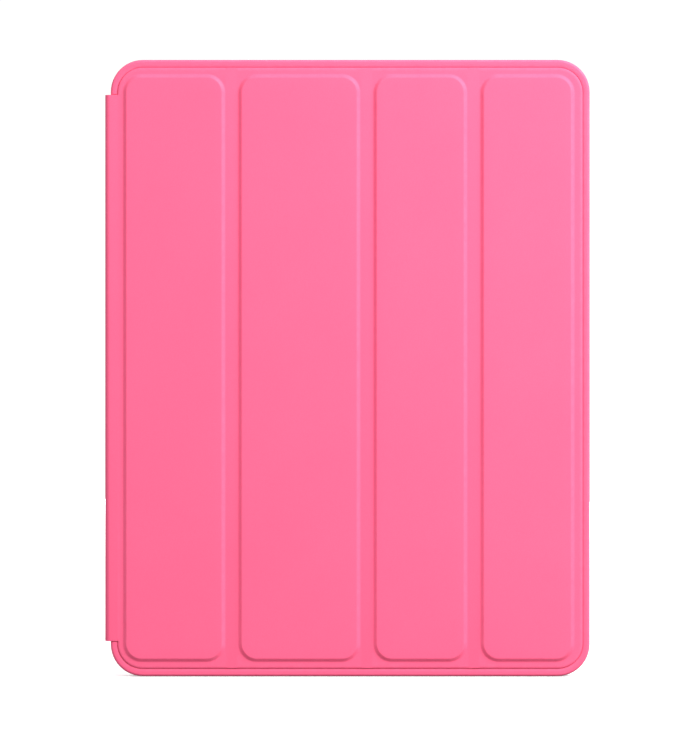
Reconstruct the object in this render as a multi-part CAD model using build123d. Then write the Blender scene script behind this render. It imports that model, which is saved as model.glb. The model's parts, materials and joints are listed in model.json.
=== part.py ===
"""Folio case for a 9.7-inch-class tablet: a lined tray, a spine and a cover of four hinged panels.

The pieces are modelled in the case's own directions: X across the case, Y up it, and Z out of its
front, with zero depth on the back face. stand_up() then turns the finished pieces so that the case
stands on its bottom edge with its cover facing -Y and its height along +Z.
"""
from build123d import *
import math
import os

# ---------------------------------------------------------------- driving dimensions, millimetres

# The tablet that the pocket is made for
TABLET_WIDTH = 185.7
TABLET_HEIGHT = 241.2
TABLET_DEPTH = 9.4
TABLET_CORNER = 9.3
FIT_GAP = 0.15

# Sheet thicknesses
SKIN = 0.8
LINING = 0.4
TRAY_BOARD = 1.2
PANEL_BOARD = 1.0
SPINE_BOARD = 0.6

# Tray outline
TRAY_WIDTH = 192.7
TRAY_HEIGHT = 248.0
TRAY_CORNER = 12.9
BACK_SHOULDER = 3.0
RIM_ROUND = 1.1
RIM_ABOVE_TABLET = 0.8
LEDGE_BELOW_TABLET = 0.3
NOTCH_BELOW_LEDGE = 0.5

# Cover outline
COVER_HALF_WIDTH = 93.5
COVER_HEIGHT = 241.6
COVER_CORNER = 10.0
COVER_GAP = 0.3
LINING_INSET = 0.6

# Raised panels and the folds between them
FOLDS = (-47.6, 6.7, 49.7)
FOLD_SLIT = 0.1
FOLD_WEB = 6.6
RAISED_HEIGHT = 1.0
RAISED_BEVEL = 0.9
RAISED_CORNER = 6.8
RAISED_LENGTH = 235.0
RAISED_LEFT_MARGIN = 2.85
RAISED_RIGHT_MARGIN = 4.0
BOARD_INSET = 1.0

# Spine
SPINE_REACH = 2.25
SPINE_LENGTH = 219.4
SPINE_BEND = 3.6
HINGE_SLIT = 0.3
CORNER_SLIT = 0.1
NOTCH_GAP = 0.5

# Apertures in the tray, each given by its length, its width and its middle
CAMERA_DIAMETER = 12.0
CAMERA_AT = (80.0, 108.0)
SPEAKER_SLOT = (38.0, 8.0)
SPEAKER_AT = (62.0, -112.5)
DOCK_SLOT = (28.0, 6.8)
HEADPHONE_SLOT = (10.0, 6.4)
HEADPHONE_X = -78.0
MICROPHONE_DIAMETER = 1.8
SWITCH_SLOT = (12.0, 6.2)
SWITCH_Y = 96.0
APERTURE_DEPTH = 7.1
SLOT_SLEEVE = 0.8

# Button pads
BUTTON_WIDTH = 5.0
BUTTON_GAP = 0.3
BUTTON_RECESS = 0.4
BUTTON_RECESS_MARGIN = 1.5
BUTTON_ROUND = 0.35
SLEEP_BUTTON = (15.0, 74.0)
VOLUME_UP_BUTTON = (10.0, 80.0)
VOLUME_DOWN_BUTTON = (10.0, 65.0)

# Metal pieces in the panels
MAGNET = (5.0, 12.0, 0.9)
MAGNET_COUNT = 14
MAGNET_PITCH = 16.0
MAGNET_X = 84.0
WAKE_MAGNET = (5.0, 5.0, 0.9)
WAKE_MAGNET_AT = (70.0, 60.0)
STEEL_PLATE = (13.0, 68.0, 0.5)
STEEL_PLATE_COUNT = 3
STEEL_PLATE_PITCH = 74.0
STEEL_PLATE_X = -62.0
METAL_GAP = 0.05

# ---------------------------------------------------------------- dimensions worked out from those

FLOOR = SKIN + TRAY_BOARD + LINING
TABLET_FRONT = FLOOR + TABLET_DEPTH
LEDGE = TABLET_FRONT - LEDGE_BELOW_TABLET
NOTCH = LEDGE - NOTCH_BELOW_LEDGE
RIM = TABLET_FRONT + RIM_ABOVE_TABLET
LINING_FRONT = TABLET_FRONT + LINING
WEB_FRONT = LINING_FRONT + SKIN
BOARD_FRONT = LINING_FRONT + PANEL_BOARD
COVER_FRONT = WEB_FRONT + RAISED_HEIGHT

HALF_WIDTH = TRAY_WIDTH / 2
HALF_HEIGHT = TRAY_HEIGHT / 2
POCKET_WIDTH = TABLET_WIDTH + 2 * FIT_GAP
POCKET_HEIGHT = TABLET_HEIGHT + 2 * FIT_GAP
COVER_WIDTH = 2 * COVER_HALF_WIDTH
SPINE_FACE = -HALF_WIDTH - SPINE_REACH
SPINE_HALF = SPINE_LENGTH / 2
BEND_X = SPINE_FACE + SPINE_BEND
BEND_Z = WEB_FRONT - SPINE_BEND
SPINE_BOARD_TOP = BEND_Z - 0.4
PAST = 5.0


# ---------------------------------------------------------------- shape helpers

def block(x_range, y_range, z_range):
    """A box between two values along each axis."""
    ranges = (x_range, y_range, z_range)
    middle = [(low + high) / 2 for low, high in ranges]
    sides = [high - low for low, high in ranges]
    return Pos(*middle) * Box(*sides)


def plate(width, height, corner, z_range, middle=(0, 0)):
    """A plate with rounded corners, lying across the case between two depths."""
    outline = Pos(middle[0], middle[1], z_range[0]) * RectangleRounded(width, height, corner)
    return extrude(outline, amount=z_range[1] - z_range[0])


def slot_in_top(x, y, length, width, depth, z=APERTURE_DEPTH):
    """A round-ended bar through a top or bottom wall, along Y from y for a depth."""
    plane = Plane(origin=(x, y, z), x_dir=(1, 0, 0), z_dir=(0, 1, 0))
    return extrude(plane * SlotOverall(length, width), amount=depth)


def slot_in_side(x, y, length, width, depth, z=APERTURE_DEPTH):
    """A round-ended bar through the right wall, along X from x for a depth."""
    plane = Plane(origin=(x, y, z), x_dir=(0, 1, 0), z_dir=(1, 0, 0))
    return extrude(plane * SlotOverall(length, width), amount=depth)


def along_spine(profile):
    """A closed outline in X and Z, drawn out over the spine's length."""
    plane = Plane(origin=(0, SPINE_HALF, 0), x_dir=(1, 0, 0), z_dir=(0, -1, 0))
    return extrude(plane * profile, amount=SPINE_LENGTH)


def stand_up(shape):
    """Turn a piece from the case's own directions to the standing frame, origin under its middle."""
    middle_x = (HALF_WIDTH + SPINE_FACE) / 2
    return Pos(-middle_x, COVER_FRONT / 2, HALF_HEIGHT) * Rot(90, 0, 0) * shape


# ---------------------------------------------------------------- button pads and their apertures

def button_bars(length, width, start, depth):
    """The three bars that pass through the walls, in the order sleep, volume up, volume down."""
    sleep = slot_in_top(SLEEP_BUTTON[1], HALF_HEIGHT + start, SLEEP_BUTTON[0] + length, width, depth)
    volume = [
        slot_in_side(HALF_WIDTH + start, y, pad_length + length, width, depth)
        for pad_length, y in (VOLUME_UP_BUTTON, VOLUME_DOWN_BUTTON)
    ]
    return [sleep] + volume


def button_pads():
    """Pads as deep as the wall, level with its outer face, with an eased outer edge."""
    top_wall = (TRAY_HEIGHT - POCKET_HEIGHT) / 2
    side_wall = (TRAY_WIDTH - POCKET_WIDTH) / 2
    sleep = button_bars(0, BUTTON_WIDTH, -top_wall, top_wall)[0]
    volume_up, volume_down = button_bars(0, BUTTON_WIDTH, -side_wall, side_wall)[1:]
    return {
        "sleep_button": fillet(sleep.edges().group_by(Axis.Y)[-1], BUTTON_ROUND),
        "volume_up_button": fillet(volume_up.edges().group_by(Axis.X)[-1], BUTTON_ROUND),
        "volume_down_button": fillet(volume_down.edges().group_by(Axis.X)[-1], BUTTON_ROUND),
    }


def button_apertures():
    """A clear passage for each pad, with a shallow recess round it in the outer skin."""
    gap = 2 * BUTTON_GAP
    margin = 2 * BUTTON_RECESS_MARGIN
    passages = button_bars(gap, BUTTON_WIDTH + gap, -PAST, 2 * PAST)
    recesses = button_bars(margin, BUTTON_WIDTH + margin, -BUTTON_RECESS, PAST)
    return passages + recesses


# ---------------------------------------------------------------- tray

def tray_apertures():
    """Everything that is cut through the tray's floor and walls."""
    through_floor = (-PAST, FLOOR + PAST)
    camera = Pos(*CAMERA_AT, FLOOR / 2) * Cylinder(CAMERA_DIAMETER / 2, FLOOR + 2 * PAST)
    speaker = Pos(*SPEAKER_AT, through_floor[0]) * SlotOverall(*SPEAKER_SLOT)
    microphone = Cylinder(MICROPHONE_DIAMETER / 2, 2 * PAST)
    return [
        camera,
        extrude(speaker, amount=through_floor[1] - through_floor[0]),
        slot_in_top(0, -HALF_HEIGHT - PAST, *DOCK_SLOT, 2 * PAST),
        slot_in_top(HEADPHONE_X, HALF_HEIGHT - PAST, *HEADPHONE_SLOT, 2 * PAST),
        slot_in_side(HALF_WIDTH - PAST, SWITCH_Y, *SWITCH_SLOT, 2 * PAST),
        Pos(0, HALF_HEIGHT, APERTURE_DEPTH) * Rot(90, 0, 0) * microphone,
    ] + button_apertures()


def slot_sleeves():
    """The stretches of wall round the three edge slots, where the frame stops and the skin turns in."""
    wall = HALF_HEIGHT - POCKET_HEIGHT / 2 + PAST
    depth = (0, RIM)
    slots = (DOCK_SLOT, HEADPHONE_SLOT, SWITCH_SLOT)
    dock, headphone, switch = (slot[0] / 2 + SLOT_SLEEVE for slot in slots)
    return [
        block((-dock, dock), (-HALF_HEIGHT, -HALF_HEIGHT + wall), depth),
        block((HEADPHONE_X - headphone, HEADPHONE_X + headphone), (HALF_HEIGHT - wall, HALF_HEIGHT), depth),
        block((HALF_WIDTH - wall, HALF_WIDTH), (SWITCH_Y - switch, SWITCH_Y + switch), depth),
    ]


def cover_recess(z_low, z_high=COVER_FRONT + PAST):
    """The space inside the rim that the cover's edge drops into, between two depths."""
    width = COVER_WIDTH + 2 * COVER_GAP
    height = COVER_HEIGHT + 2 * COVER_GAP
    return plate(width, height, COVER_CORNER + COVER_GAP, (z_low, z_high))


def rim_notch(z_low):
    """The stretch of the left rim that the cover crosses on its way to the spine, above a depth."""
    reach = SPINE_HALF + NOTCH_GAP
    right = -COVER_HALF_WIDTH - COVER_GAP
    return block((SPINE_FACE - PAST, right), (-reach, reach), (z_low, COVER_FRONT + PAST))


def tray_body(inset, rim, shoulder, rim_round):
    """The tray's outer form with nothing taken out, a step inside its outer face."""
    body = plate(TRAY_WIDTH - 2 * inset, TRAY_HEIGHT - 2 * inset, TRAY_CORNER - inset, (inset, rim))
    body = fillet(body.edges().group_by(Axis.Z)[0], shoulder)
    return fillet(body.edges().group_by(Axis.Z)[-1], rim_round)


def hinge_lip():
    """The skin's tongue along the back left edge, mitred where the spine's skin starts."""
    tip = SPINE_FACE + HINGE_SLIT / math.sqrt(2)
    root = -HALF_WIDTH + BACK_SHOULDER
    points = ((tip, 0), (root, 0), (root, SKIN), (tip + SKIN, SKIN))
    return along_spine(make_face(Polyline(*points, close=True)))


def pocket_plate(z_range, margin=0):
    """A plate with the outline of the tablet's pocket, or a margin larger all round."""
    corner = TABLET_CORNER + FIT_GAP + margin
    return plate(POCKET_WIDTH + 2 * margin, POCKET_HEIGHT + 2 * margin, corner, z_range)


def tray_pieces(apertures):
    """Skin, back board, edge frame and lining of the tray."""
    outer = tray_body(0, RIM, BACK_SHOULDER, RIM_ROUND)
    inner = tray_body(SKIN, RIM - SKIN, BACK_SHOULDER - SKIN, RIM_ROUND - SKIN)
    lined_pocket = pocket_plate((FLOOR - LINING, LEDGE), LINING)

    skin = outer - (inner - rim_notch(NOTCH - SKIN)) - cover_recess(LEDGE) - rim_notch(NOTCH)
    core = inner - pocket_plate((0, LEDGE), LINING) - cover_recess(LEDGE - LINING)
    core = core - rim_notch(NOTCH - SKIN)
    pieces = {
        "tray_skin": skin + hinge_lip() + [core & sleeve for sleeve in slot_sleeves()],
        "tray_board": inner & pocket_plate((SKIN, SKIN + TRAY_BOARD), LINING),
        "tray_frame": core - slot_sleeves(),
        "tray_lining": lined_pocket + cover_recess(LEDGE - LINING, LEDGE) - pocket_plate((FLOOR, RIM)),
    }
    return {name: piece - apertures for name, piece in pieces.items()}


# ---------------------------------------------------------------- spine and the bend at its front edge

def bend_band(outer_radius, inner_radius):
    """A quarter ring about the bend's own centre, from the spine's face to the cover's front."""
    ring = Circle(outer_radius) - Circle(inner_radius)
    quarter = Pos(-outer_radius / 2, outer_radius / 2) * Rectangle(outer_radius, outer_radius)
    return along_spine(Pos(BEND_X, BEND_Z) * (ring & quarter))


def bend_side(towards_cover):
    """Everything on one side of the mitre through the bend, less half of the slit."""
    size = 60.0
    sign = 1 if towards_cover else -1
    step = sign * (size + CORNER_SLIT) / 2 / math.sqrt(2)
    return Pos(BEND_X + step, 0, BEND_Z + step) * Rot(0, -45, 0) * Box(size, TRAY_HEIGHT, size)


def spine_strip(depth_range, z_high):
    """A flat strip of the spine between two depths below its outer face, mitred at its back end."""
    x_low = SPINE_FACE + depth_range[0]
    x_high = SPINE_FACE + depth_range[1]
    start = HINGE_SLIT / math.sqrt(2)
    mitre = ((x_low, start + depth_range[0]), (x_high, start + depth_range[1]))
    return along_spine(make_face(Polyline(*mitre, (x_high, z_high), (x_low, z_high), close=True)))


def spine_pieces():
    """Skin, stiffener and lining of the spine."""
    board_depth = SKIN + SPINE_BOARD
    lining_depth = board_depth + LINING
    bend_depth = SKIN + LINING
    side = bend_side(towards_cover=False)
    skin = spine_strip((0, SKIN), BEND_Z) + bend_band(SPINE_BEND, SPINE_BEND - SKIN)
    lining = spine_strip((board_depth, lining_depth), BEND_Z)
    step = block(
        (SPINE_FACE + SKIN, SPINE_FACE + lining_depth),
        (-SPINE_HALF, SPINE_HALF),
        (SPINE_BOARD_TOP, BEND_Z),
    )
    lining = lining + step + bend_band(SPINE_BEND - SKIN, SPINE_BEND - bend_depth)
    return {
        "spine_skin": skin & side,
        "spine_board": spine_strip((SKIN, board_depth), SPINE_BOARD_TOP),
        "spine_lining": lining & side,
    }


# ---------------------------------------------------------------- cover

def panel_limits(number):
    """The left and right limits of a panel, between the middles of its two folds."""
    edges = (-COVER_HALF_WIDTH,) + FOLDS + (COVER_HALF_WIDTH,)
    left, right = edges[number - 1], edges[number]
    left += FOLD_SLIT / 2 if number > 1 else 0
    right -= FOLD_SLIT / 2 if number < 4 else 0
    return left, right


def raised_limits(number):
    """The left and right limits of a panel's raised part."""
    edges = (-COVER_HALF_WIDTH,) + FOLDS + (COVER_HALF_WIDTH,)
    left = edges[number - 1] + (FOLD_WEB / 2 if number > 1 else RAISED_LEFT_MARGIN)
    right = edges[number] - (FOLD_WEB / 2 if number < 4 else RAISED_RIGHT_MARGIN)
    return left, right


def raised_plate(number, inset, z_range):
    """A rounded plate with the outline of a panel's raised part, a step inside it."""
    left, right = raised_limits(number)
    width = right - left - 2 * inset
    middle = ((left + right) / 2, 0)
    return plate(width, RAISED_LENGTH - 2 * inset, RAISED_CORNER - inset, z_range, middle)


def cover_slice(number, inset, z_range):
    """A panel's share of the cover's flat sheet, a step inside the cover's edge."""
    sheet = plate(COVER_WIDTH - 2 * inset, COVER_HEIGHT - 2 * inset, COVER_CORNER - inset, z_range)
    left, right = panel_limits(number)
    return sheet & block((left, right), (-HALF_HEIGHT, HALF_HEIGHT), z_range)


def cover_tab(z_range, radii):
    """The part of panel 1 that crosses the rim and turns down to meet the spine."""
    flat = block((BEND_X, -COVER_HALF_WIDTH + COVER_CORNER), (-SPINE_HALF, SPINE_HALF), z_range)
    return flat + (bend_band(*radii) & bend_side(towards_cover=True))


def spread(x, count, pitch):
    """Places in a row up the case, evenly spaced about its middle."""
    return [(x, (i - (count - 1) / 2) * pitch) for i in range(count)]


def panel_metal(number):
    """The metal in a panel: each node's name, with the size of its pieces and their places."""
    if number == 1:
        places = spread(STEEL_PLATE_X, STEEL_PLATE_COUNT, STEEL_PLATE_PITCH)
        return {"steel_plates": (STEEL_PLATE, places)}
    if number == 4:
        places = spread(MAGNET_X, MAGNET_COUNT, MAGNET_PITCH)
        return {"edge_magnets": (MAGNET, places), "wake_magnet": (WAKE_MAGNET, [WAKE_MAGNET_AT])}
    return {}


def panel_pieces(number):
    """Skin, stiffener, lining and any metal of one panel."""
    rise = raised_plate(number, 0, (WEB_FRONT - SKIN, COVER_FRONT))
    rise = fillet(rise.edges().group_by(Axis.Z)[-1], RAISED_BEVEL)
    skin = cover_slice(number, 0, (LINING_FRONT, WEB_FRONT))
    lining = cover_slice(number, LINING_INSET, (TABLET_FRONT, LINING_FRONT))
    if number == 1:
        skin += cover_tab((LINING_FRONT, WEB_FRONT), (SPINE_BEND, SPINE_BEND - SKIN))
        bend_inside = SPINE_BEND - SKIN - LINING
        lining += cover_tab((TABLET_FRONT, LINING_FRONT), (SPINE_BEND - SKIN, bend_inside))
    board = raised_plate(number, BOARD_INSET, (LINING_FRONT, BOARD_FRONT))

    pieces = {}
    slots = []
    for name, (size, places) in panel_metal(number).items():
        base = LINING_FRONT + METAL_GAP
        pieces[name] = Compound([Pos(x, y, base + size[2] / 2) * Box(*size) for x, y in places])
        room = (size[0] + 2 * METAL_GAP, size[1] + 2 * METAL_GAP, size[2] + 2 * METAL_GAP)
        slots += [Pos(x, y, LINING_FRONT + room[2] / 2) * Box(*room) for x, y in places]
    pieces[f"panel_{number}_skin"] = skin + rise - board
    pieces[f"panel_{number}_board"] = board - slots if slots else board
    pieces[f"panel_{number}_lining"] = lining
    return pieces


# ---------------------------------------------------------------- whole case

def all_pieces():
    """Every node of the case, in the case's own directions."""
    pieces = tray_pieces(tray_apertures())
    pieces.update(spine_pieces())
    for number in range(1, 5):
        pieces.update(panel_pieces(number))
    pieces.update(button_pads())
    return pieces


os.makedirs("parts", exist_ok=True)
for node, piece in all_pieces().items():
    export_step(stand_up(piece), f"parts/{node}.step")
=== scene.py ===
import json
import math

import bmesh
import bpy
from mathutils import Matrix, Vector


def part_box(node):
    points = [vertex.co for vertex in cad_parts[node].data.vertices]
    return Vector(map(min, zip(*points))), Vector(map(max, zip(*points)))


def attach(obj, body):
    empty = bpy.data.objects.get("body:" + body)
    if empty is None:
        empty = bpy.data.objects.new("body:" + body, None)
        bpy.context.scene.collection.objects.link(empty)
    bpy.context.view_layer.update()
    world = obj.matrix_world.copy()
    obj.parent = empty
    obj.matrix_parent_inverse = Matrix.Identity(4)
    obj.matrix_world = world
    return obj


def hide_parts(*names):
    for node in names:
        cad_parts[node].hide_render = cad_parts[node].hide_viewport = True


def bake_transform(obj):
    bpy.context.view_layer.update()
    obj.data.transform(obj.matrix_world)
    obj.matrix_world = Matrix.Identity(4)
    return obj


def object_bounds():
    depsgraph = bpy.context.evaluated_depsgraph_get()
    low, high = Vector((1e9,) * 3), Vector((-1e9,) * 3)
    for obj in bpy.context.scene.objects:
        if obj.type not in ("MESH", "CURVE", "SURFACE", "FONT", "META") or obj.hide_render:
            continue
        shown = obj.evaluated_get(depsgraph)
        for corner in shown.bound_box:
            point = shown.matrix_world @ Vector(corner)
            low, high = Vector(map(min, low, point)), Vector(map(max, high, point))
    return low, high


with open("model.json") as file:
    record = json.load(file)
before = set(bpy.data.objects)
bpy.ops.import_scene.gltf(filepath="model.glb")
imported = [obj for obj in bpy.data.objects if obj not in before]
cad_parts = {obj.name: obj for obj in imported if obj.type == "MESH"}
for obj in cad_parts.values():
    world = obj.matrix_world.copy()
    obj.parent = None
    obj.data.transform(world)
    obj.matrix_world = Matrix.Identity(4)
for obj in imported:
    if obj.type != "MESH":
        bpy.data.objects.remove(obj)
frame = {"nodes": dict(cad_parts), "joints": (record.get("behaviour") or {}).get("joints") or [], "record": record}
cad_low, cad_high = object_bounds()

# A folio case for a tablet: a tray with a raised rim, a spine along its left side and a cover of four
# stiffened panels that folds at three soft webs. Shapes are worked out in the case's own directions, in
# millimetres: x across, y up and z out of the front, from the middle of the tray's back. A value that ends
# in WEAR says how much an edge is rubbed, from 0 to 1.

# ---------------------------------------------------------------- the frame, in the case's own directions

MM = 0.001
MIDDLE_X = (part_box("tray_board")[0][0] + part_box("tray_board")[1][0]) / 2
MIDDLE_Z = (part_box("tray_board")[0][2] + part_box("tray_board")[1][2]) / 2
BACK_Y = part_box("tray_skin")[1][1]


def place(x, y, z):
    """A point of the case, in metres in the shared frame."""
    return Vector((MIDDLE_X + x * MM, BACK_Y - z * MM, MIDDLE_Z + y * MM))


def case_point(point):
    """A point of the shared frame, in the case's own directions."""
    return ((point[0] - MIDDLE_X) / MM, (point[2] - MIDDLE_Z) / MM, (BACK_Y - point[1]) / MM)


def span(node):
    """The lowest and highest values of a CAD node along the case's x, y and z."""
    low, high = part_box(node)
    first, last = case_point((low[0], high[1], low[2])), case_point((high[0], low[1], high[2]))
    return tuple((round(a, 2), round(b, 2)) for a, b in zip(first, last))


JOINTS = {joint["name"]: joint for joint in frame["joints"]}
OPENINGS = {opening["name"]: opening["box_m"] for opening in frame["record"]["physics"]["openings"]}


def opening_middle(name):
    """The middle of one of the record's openings."""
    low, high = OPENINGS[name]
    return case_point([(a + b) / 2 for a, b in zip(low, high)])


TRAY = span("tray_skin")
BOARD = span("tray_board")
TRAY_LINING = span("tray_lining")
SPINE = span("spine_skin")
SPINE_BOARD = span("spine_board")
PANEL_NUMBERS = (1, 2, 3, 4)
PANEL_SKINS = {k: span(f"panel_{k}_skin") for k in PANEL_NUMBERS}
PANEL_BOARDS = {k: span(f"panel_{k}_board") for k in PANEL_NUMBERS}
PANEL_LININGS = {k: span(f"panel_{k}_lining") for k in PANEL_NUMBERS}
FOLDS = {k: case_point(JOINTS[f"fold_{k}_{k + 1}"]["pos_m"])[0] for k in PANEL_NUMBERS[:-1]}

# Tray
HALF_WIDTH = TRAY[0][1]
HALF_HEIGHT = TRAY[1][1]
RIM = TRAY[2][1]
SKIN = BOARD[2][0]
LEDGE = TRAY_LINING[2][1]
LINING = PANEL_LININGS[2][2][1] - PANEL_LININGS[2][2][0]
FLOOR = BOARD[2][1] + LINING
LINING_OVERLAP = 0.05
RECESS_HALF = (TRAY_LINING[0][1], TRAY_LINING[1][1] - LINING_OVERLAP)
POCKET_HALF = (BOARD[0][1] - LINING, BOARD[1][1] - LINING)
TRAY_CORNER = 12.9
RECESS_CORNER = 10.3
POCKET_CORNER = 9.45
SHOULDER = 3.0
RIM_ROUND = 1.1
# The rim's inner edge slopes down by RIM_DIP over RIM_SLOPE, and is RIM_PROUD nearer the cover than in CAD
RIM_SLOPE = 1.4
RIM_DIP = 0.4
RIM_PROUD = 0.25
NOTCH_EDGE = 0.35
NOTCH_HALF = 109.95
NOTCH = 11.0
NOTCH_PATCH = 0.4
NOTCH_PATCH_RISE = 0.3
FLOOR_COVE = 0.8
LIP_ROUND = 0.25
# What stays open between the ledge round the pocket and the closed cover's microfibre
CLOSED_GAP = 0.02
# Flat bands beside the rounded edges, which keep the shading of the broad faces flat
CAP_BAND = 0.6
SHOULDER_BAND = 0.5
RIM_BAND = 0.4
FLOOR_BAND = 1.0
SHOULDER_WEAR = 0.35
RECESS_WEAR = 0.6

# Cover
COVER_HALF_HEIGHT = PANEL_SKINS[2][1][1]
COVER_LEFT = -PANEL_SKINS[4][0][1]
COVER_CORNER = 10.0
COVER_EDGE = 1.2
COVER_EDGE_BACK = 0.08
LINING_FRONT = PANEL_LININGS[2][2][1]
WEB_FRONT = LINING_FRONT + SKIN
COVER_FRONT = PANEL_SKINS[2][2][1]
BOARD_FRONT = PANEL_BOARDS[2][2][1]
# How far the microfibre ends inside the ends of the folds and the spine, and inside the cover's free edge
LINING_INSET = 0.3
LINING_SHY = 0.1
LEDGE_TOP = LINING_FRONT - LINING - CLOSED_GAP
RAISED_MARGIN = 1.0
RAISED_CORNER = 6.8
RAISED_FOOT = 0.85
RAISED_BEVEL = 0.95
RAISED_CROWN = 0.05
CROWN_REACH = 4.0
CROWN_STOPS = (0.25, 0.6, 1.0)
BEVEL_STEPS = 14
EDGE_BAND = 0.25
FOOT_BAND = 0.2
COVER_WEAR = 0.5
FOLD_STRIP = 2.2
FOLD_DIP = 0.16
FOLD_LINING_ROUND = 0.1
FOLD_STEPS = 24

# Spine
SPINE_FACE = SPINE[0][0]
SPINE_GROWTH = 0.15
SPINE_HALF = SPINE[1][1] + SPINE_GROWTH
# The skin's radius where it turns from the spine to the cover, and how far past the turn it still bends
BEND = 2.0
BEND_X = SPINE_FACE + BEND
BEND_Z = WEB_FRONT - BEND
BEND_STEPS = 16
SPINE_TOP = 8.4
SPINE_WEAR = 0.6
CREASE = 0.1
CREASE_ROUND = 0.22
CREASE_ROUND_BACK = 0.7 * CREASE_ROUND
LIP_ROOT = 0.3
TAB_ROUND = 0.2
TAB_EASE = 0.4
LINING_STEPS = 8
LINING_FOOT = 0.05

# Apertures in the tray, each a length and a width, with how far its edge is rounded
CAMERA = (12.0, 12.0, 0.6)
SPEAKER = (38.0, 8.0, 0.5)
DOCK = (28.0, 6.8, 0.4)
HEADPHONE = (10.0, 6.4, 0.4)
SWITCH = (12.0, 6.2, 0.4)
MICROPHONE = (1.8, 1.8, 0.15)

# Buttons' recesses, the sleeves behind the slots, and how deep the tray's apertures are cut
BUTTON_MARGIN = 1.5
BUTTON_RECESS = 0.4
BUTTON_RECESS_EDGE = 0.2
BUTTON_GAP = 0.3
SLEEVE = 0.8
SLEEVE_INTO_SKIN = 0.3
SLEEVE_END = 0.2
OUTSIDE = 2.0
SKIN_CUT = 4.0
LINING_CUT = 4.6

# Button pads: each step of the crown is a depth, how far inside the pad's edge it lies, and its wear
PAD_CROWN = ((0.0, 1.6, 0.0), (0.03, 1.0, 0.1), (0.10, 0.55, 0.5))
PAD_ROUND = 0.35
PAD_SHOULDER = 0.15
PAD_BACK_EDGE = 0.2

# Meshes
ARC_STEPS = 12
SMOOTH_ANGLE = 35
JOIN_DISTANCE = 0.0008 * MM
SLIVER = 0.0004 * MM


# ---------------------------------------------------------------- mesh helpers

class Shape:
    """Rows of points joined by faces, gathered in the case's own directions before they become a mesh."""

    def __init__(self):
        self.points = []
        self.worn = []
        self.faces = []

    def row(self, points, worn=0.0):
        """Add points; worn says how much they are rubbed, from 0 to 1."""
        start = len(self.points)
        self.points += [place(*point) for point in points]
        self.worn += [worn] * len(points)
        return list(range(start, len(self.points)))

    def bridge(self, first, second):
        """Faces between two closed rows of equal length."""
        for i in range(len(first)):
            j = (i + 1) % len(first)
            self.faces.append((first[i], first[j], second[j], second[i]))

    def stack(self, rows):
        """A solid from closed rows, one after another, with a face over each end."""
        for first, second in zip(rows, rows[1:]):
            self.bridge(first, second)
        self.faces.append(tuple(rows[0]))
        self.faces.append(tuple(rows[-1]))

    def build(self, name):
        """An object of the gathered faces, with repeated points joined."""
        mesh = bpy.data.meshes.new(name)
        mesh.from_pydata(self.points, [], self.faces)
        attribute = mesh.attributes.new("worn", "FLOAT", "POINT")
        attribute.data.foreach_set("value", self.worn)
        made = bpy.data.objects.new(name, mesh)
        bpy.context.scene.collection.objects.link(made)
        clean_mesh(made)
        return made


def clean_mesh(made):
    """Join repeated points, face everything outwards and shade it smooth up to an angle."""
    mesh = made.data
    work = bmesh.new()
    work.from_mesh(mesh)
    bmesh.ops.remove_doubles(work, verts=work.verts, dist=JOIN_DISTANCE)
    bmesh.ops.dissolve_degenerate(work, edges=work.edges, dist=SLIVER)
    bmesh.ops.recalc_face_normals(work, faces=work.faces)
    work.to_mesh(mesh)
    work.free()
    mesh.shade_smooth()
    mesh.set_sharp_from_angle(angle=math.radians(SMOOTH_ANGLE))


def arc(steps, start=0.0, end=90.0):
    """Angles in radians from start to end, both included."""
    return [math.radians(start + (end - start) * step / steps) for step in range(steps + 1)]


def rounded(x_range, y_range, radii, z):
    """A rounded rectangle from its bottom right corner round to its bottom left, at one depth."""
    corners = (
        (x_range[1], y_range[0], 1, -1, -90),
        (x_range[1], y_range[1], 1, 1, 0),
        (x_range[0], y_range[1], -1, 1, 90),
        (x_range[0], y_range[0], -1, -1, 180),
    )
    points = []
    for (x, y, side, end, start), radius in zip(corners, radii):
        radius = max(radius, 0.0)
        for angle in arc(ARC_STEPS, start, start + 90):
            along = x - side * radius + radius * math.cos(angle)
            points.append((along, y - end * radius + radius * math.sin(angle), z))
    return points


def centred(half, corner, z, inset=0.0):
    """A rounded rectangle about the tray's middle, a step inside its outline."""
    width, height = half[0] - inset, half[1] - inset
    return rounded((-width, width), (-height, height), [corner - inset] * 4, z)


def obround(middle, across, up, length, width, wider):
    """Points round a slot of a length and a width, or wider by a margin, in a plane of two directions."""
    radius = width / 2 + wider
    straight = (length - width) / 2
    points = []
    for side, start in ((1, -90), (-1, 90)):
        for angle in arc(ARC_STEPS, start, start + 180):
            along = side * straight + radius * math.cos(angle)
            points.append(middle + across * along + up * (radius * math.sin(angle)))
    return points


def ribbon(name, pairs, half_length, end_round=None, worn_ends=0.0):
    """A strip along y from pairs of points (x, z) on its two faces, with rounded ends."""
    shape = Shape()
    thickness = min(math.dist(outer, inner) for outer, inner in pairs)
    radius = thickness / 2 if end_round is None else end_round
    share = 2 * radius / thickness
    steps = [(radius * (1 - math.sin(a)), 1 - share * (1 - math.cos(a))) for a in arc(6)]
    stations = [(-half_length + back, size) for back, size in reversed(steps)]
    stations += [(-y, size) for y, size in reversed(stations)]
    rows = []
    for y, size in stations:
        ring = []
        for face in (0, 1):
            order = pairs if face == 0 else list(reversed(pairs))
            for pair in order:
                middle = [(a + b) / 2 for a, b in zip(*pair)]
                x, z = (m + (value - m) * size for m, value in zip(middle, pair[face]))
                ring.append((x, y, z))
        rows.append(shape.row(ring, worn_ends if size < 1 else 0.0))
    shape.stack(rows)
    return shape.build(name)


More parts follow.
